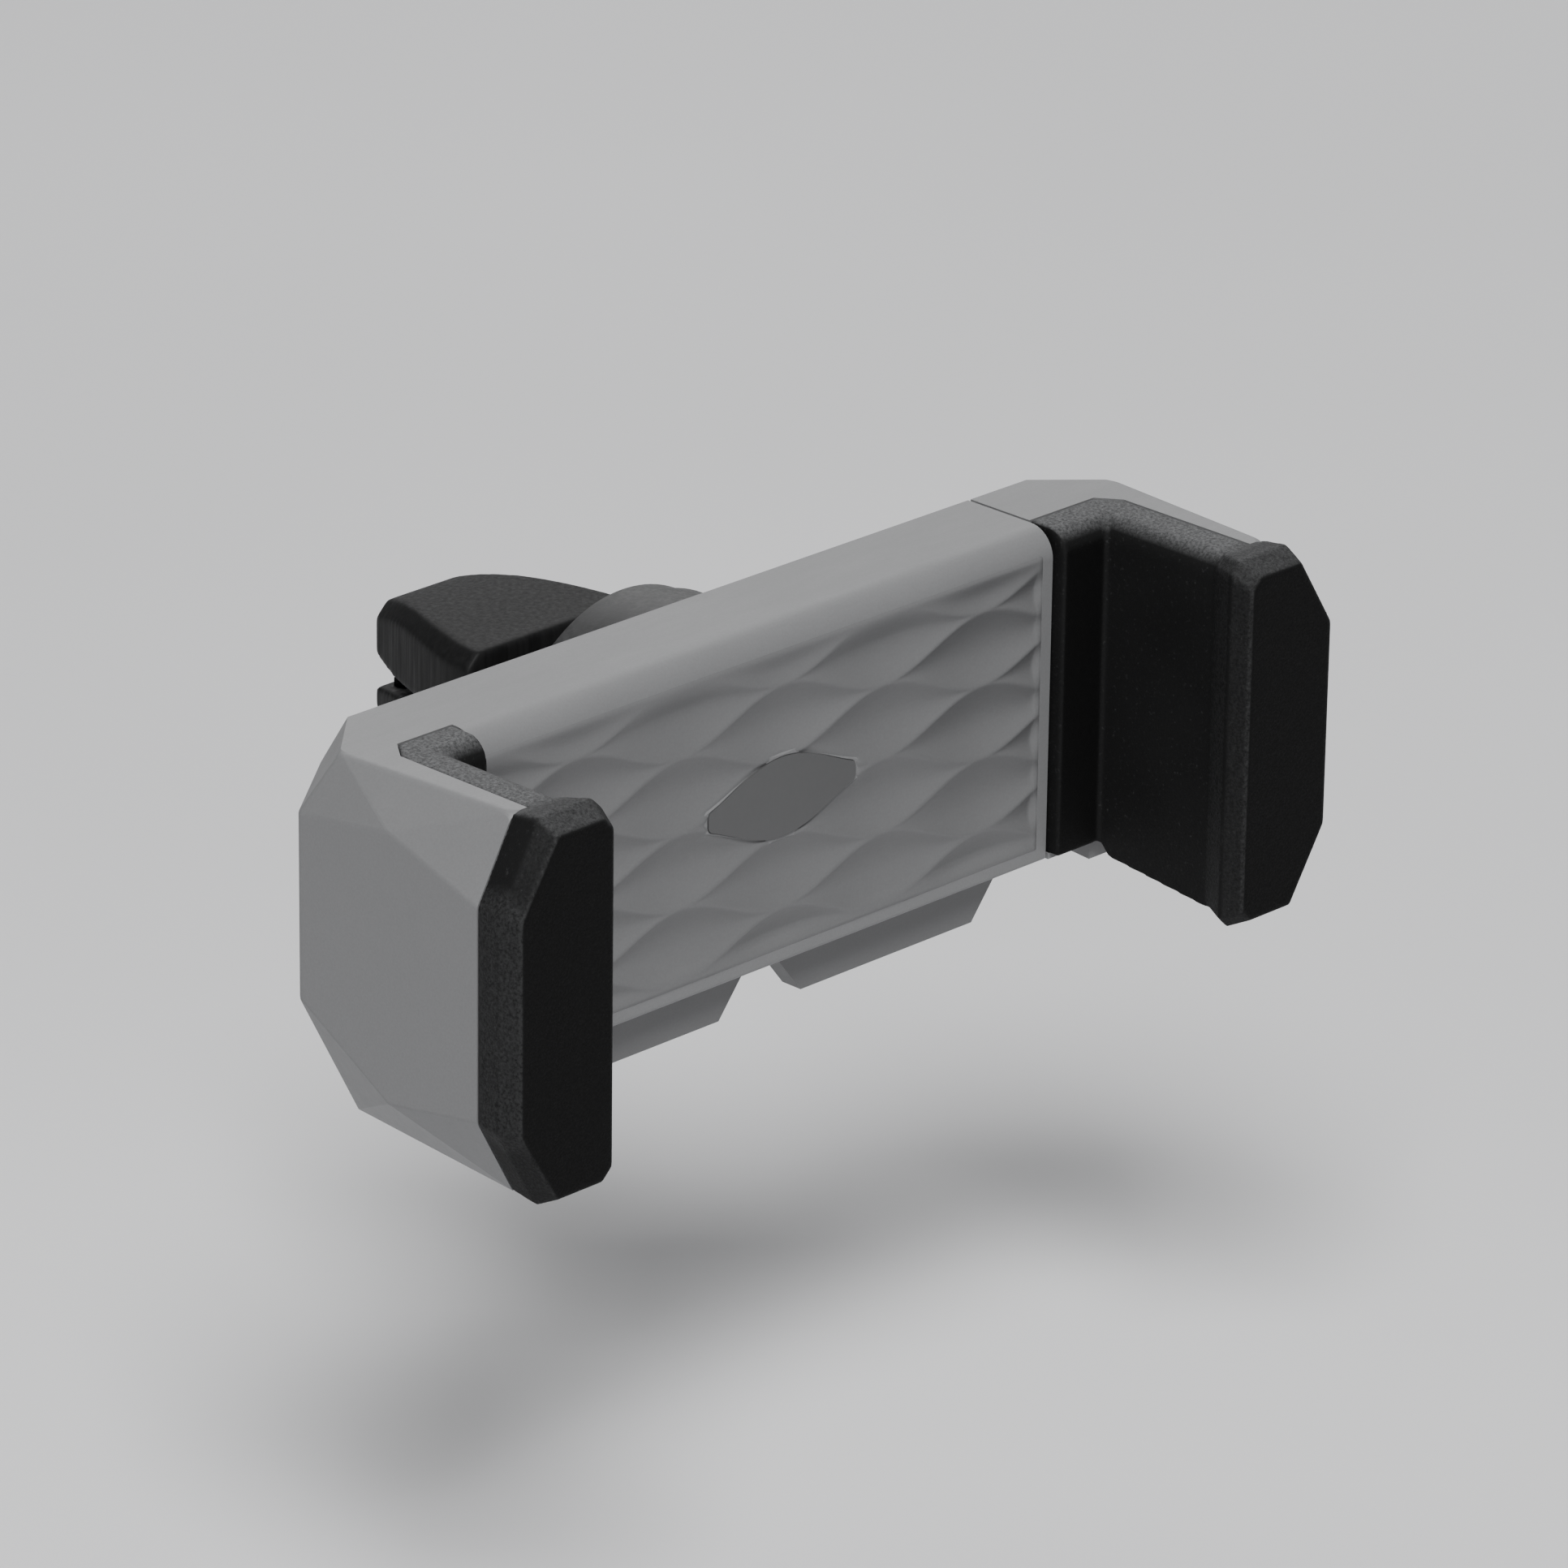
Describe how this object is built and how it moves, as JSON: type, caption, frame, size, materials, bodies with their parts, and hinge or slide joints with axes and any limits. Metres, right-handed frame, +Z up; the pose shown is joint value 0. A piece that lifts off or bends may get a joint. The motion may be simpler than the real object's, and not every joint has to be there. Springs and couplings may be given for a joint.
{
  "type": "air vent phone holder",
  "caption": "Car air vent phone holder: quilted cradle with a fixed faceted arm and a sprung sliding arm, pull-down feet, and a ball joint on a clip that grips a vent slat.",
  "frame": {"origin": "middle of the slot that grips the vent slat, halfway between its two rubber strips", "axes": "+X along the cradle towards the sliding arm, +Y into the vent, +Z up"},
  "size_m": [0.0886, 0.0576, 0.0325],
  "materials": {
    "shell": "matte",
    "badge": "satin",
    "pad": "matte",
    "clip": "satin",
    "inner": "satin",
    "spring": "satin",
    "screw": "satin"
  },
  "bodies": {
    "clip": {"clip_base": "clip", "ball_stud": "clip", "jaw_pin": "screw", "upper_grip": "pad", "jaw_spring": "spring"},
    "jaw": {"lower_jaw": "clip", "lower_grip": "pad"},
    "liner": {"friction_liner": "inner"},
    "nut": {"ring_nut": "clip"},
    "cradle": {"main_shell": "shell", "rear_cover": "shell", "leaf_badge": "badge", "left_pad": "pad", "cover_screws": "screw", "upper_spring": "spring", "lower_spring": "spring"},
    "slider": {"right_arm": "shell", "right_pad": "pad", "slide_tongue": "inner", "tongue_screws": "screw"},
    "foot_left": {"left_foot": "shell"},
    "foot_right": {"right_foot": "shell"}
  },
  "joints": [
    {"name": "ball_pan", "type": "hinge", "parent": "clip", "child": "liner", "pos_m": [0, -0.0176, 0], "axis": [0, 0, 1], "range_deg": [-15, 15]},
    {"name": "ball_tilt", "type": "hinge", "parent": "liner", "child": "nut", "pos_m": [0, -0.0176, 0], "axis": [1, 0, 0], "range_deg": [-15, 15]},
    {"name": "cradle_turn", "type": "hinge", "parent": "nut", "child": "cradle", "pos_m": [0, -0.0176, 0], "axis": [0, 1, 0], "continuous": true},
    {"name": "arm_slide", "type": "slide", "parent": "cradle", "child": "slider", "axis": [1, 0, 0], "range_m": [0, 0.02], "stiffness_N_per_m": 150, "springref_m": -0.02, "deforming": ["upper_spring", "lower_spring"]},
    {"name": "left_foot_slide", "type": "slide", "parent": "cradle", "child": "foot_left", "axis": [0, 0, -1], "range_m": [0, 0.0068]},
    {"name": "right_foot_slide", "type": "slide", "parent": "cradle", "child": "foot_right", "axis": [0, 0, -1], "range_m": [0, 0.0068]},
    {"name": "jaw_open", "type": "hinge", "parent": "clip", "child": "jaw", "pos_m": [0, -0.0072, -0.005], "axis": [-1, 0, 0], "range_deg": [0, 14], "stiffness_Nm_per_rad": 0.15, "springref_deg": -28.65, "deforming": ["jaw_spring"]}
  ]
}
